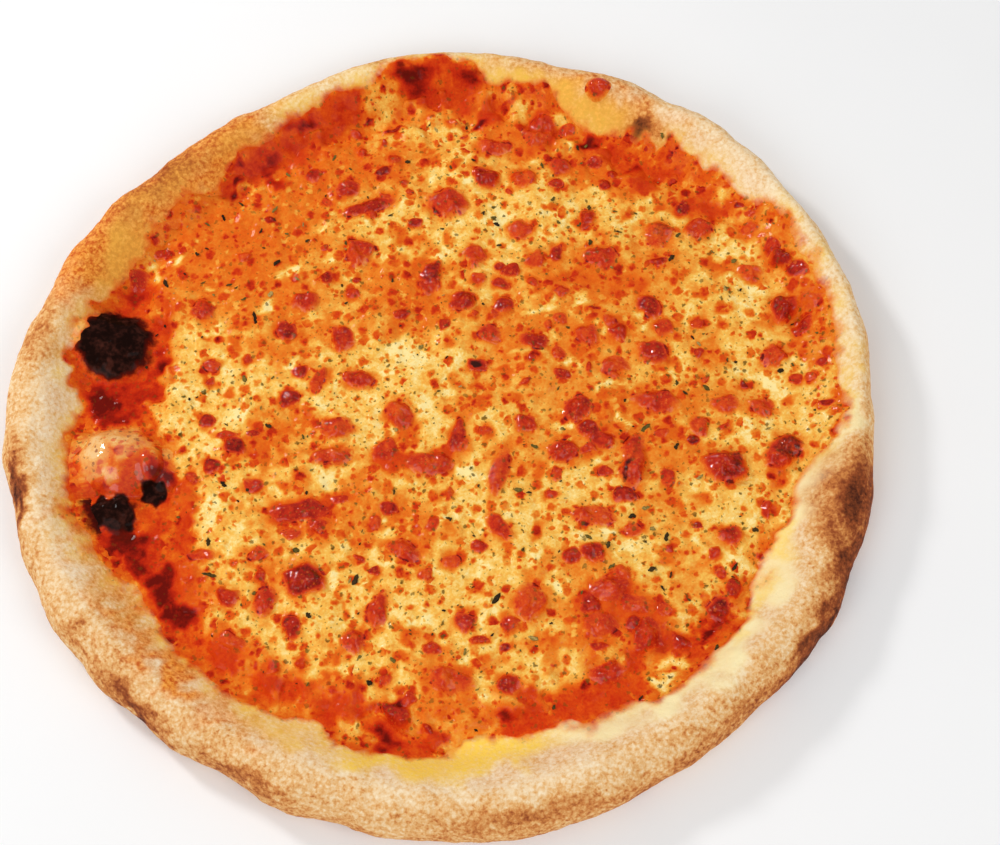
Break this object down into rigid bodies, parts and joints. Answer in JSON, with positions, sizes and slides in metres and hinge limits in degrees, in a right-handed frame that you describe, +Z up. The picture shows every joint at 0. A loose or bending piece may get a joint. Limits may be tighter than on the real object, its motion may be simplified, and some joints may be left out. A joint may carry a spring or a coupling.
{
  "type": "sobrasada pizza",
  "caption": "Round hand-stretched pizza lying flat: puffed browned rim, tomato sauce, melted cheese, crumbled soft cured sausage, dried herbs and burnt bubbles.",
  "frame": {"origin": "middle of the plan box on the flat underside", "axes": "+Z up out of the topping, +X across the widest way, +Y away from the side that the picture is taken from"},
  "size_m": [0.3202, 0.3102, 0.0218],
  "materials": {
    "dough": "baked dough, floury and matte, browned in patches",
    "sauce": "cooked tomato sauce with an oily shine, scorched in places",
    "cheese": "melted cheese stained orange by oil, satin shine",
    "sobrasada": "soft cured sausage, oily and orange red"
  },
  "bodies": {
    "root": {"dough": "dough", "tomato_sauce": "sauce", "melted_cheese": "cheese", "sobrasada_01": "sobrasada", "sobrasada_02": "sobrasada", "sobrasada_03": "sobrasada", "sobrasada_04": "sobrasada", "sobrasada_05": "sobrasada", "sobrasada_06": "sobrasada", "sobrasada_07": "sobrasada", "sobrasada_08": "sobrasada", "sobrasada_09": "sobrasada", "sobrasada_10": "sobrasada", "sobrasada_11": "sobrasada", "sobrasada_12": "sobrasada", "sobrasada_13": "sobrasada", "sobrasada_14": "sobrasada", "sobrasada_15": "sobrasada", "sobrasada_16": "sobrasada", "sobrasada_17": "sobrasada", "sobrasada_18": "sobrasada", "sobrasada_19": "sobrasada", "sobrasada_20": "sobrasada", "sobrasada_21": "sobrasada", "sobrasada_22": "sobrasada", "sobrasada_23": "sobrasada", "sobrasada_24": "sobrasada", "sobrasada_25": "sobrasada", "sobrasada_26": "sobrasada", "sobrasada_27": "sobrasada", "sobrasada_28": "sobrasada", "sobrasada_29": "sobrasada", "sobrasada_30": "sobrasada", "sobrasada_31": "sobrasada", "sobrasada_32": "sobrasada", "sobrasada_33": "sobrasada", "sobrasada_34": "sobrasada", "sobrasada_35": "sobrasada", "sobrasada_36": "sobrasada", "sobrasada_37": "sobrasada", "sobrasada_38": "sobrasada", "sobrasada_39": "sobrasada", "sobrasada_40": "sobrasada", "sobrasada_41": "sobrasada", "sobrasada_42": "sobrasada", "sobrasada_43": "sobrasada", "sobrasada_44": "sobrasada", "sobrasada_45": "sobrasada", "sobrasada_46": "sobrasada", "sobrasada_47": "sobrasada", "sobrasada_48": "sobrasada", "sobrasada_49": "sobrasada", "sobrasada_50": "sobrasada", "sobrasada_51": "sobrasada", "sobrasada_52": "sobrasada", "sobrasada_53": "sobrasada", "sobrasada_54": "sobrasada", "sobrasada_55": "sobrasada"}
  },
  "joints": []
}
